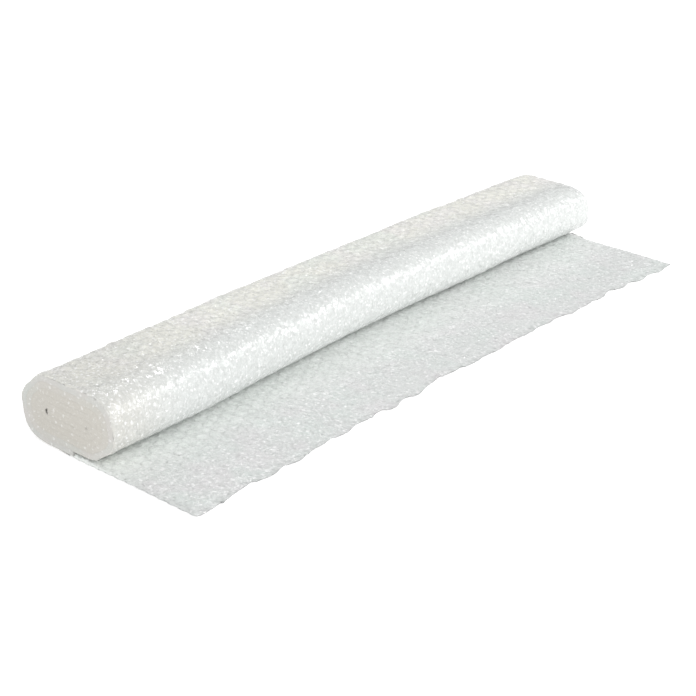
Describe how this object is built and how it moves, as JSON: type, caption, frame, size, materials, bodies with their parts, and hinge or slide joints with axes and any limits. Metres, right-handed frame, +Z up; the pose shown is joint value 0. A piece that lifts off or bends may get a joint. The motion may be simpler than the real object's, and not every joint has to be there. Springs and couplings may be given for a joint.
{
  "type": "bubble wrap roll",
  "caption": "Soft coreless roll of small-bubble cushioning film lying on its side, with its loose end drawn out flat in front.",
  "frame": {"origin": "on the floor, under the centre of the part's bounding box", "axes": "+X along the roll's axis from its fuller end to its lower end, +Y from the drawn-out end's cut edge towards the roll, +Z up"},
  "size_m": [0.61, 0.185, 0.0564],
  "materials": {
    "film": "clear polyethylene bubble film, glossy, pale grey-white where its layers lie on each other"
  },
  "bodies": {
    "root": {"bubble_film": "film"}
  },
  "joints": []
}
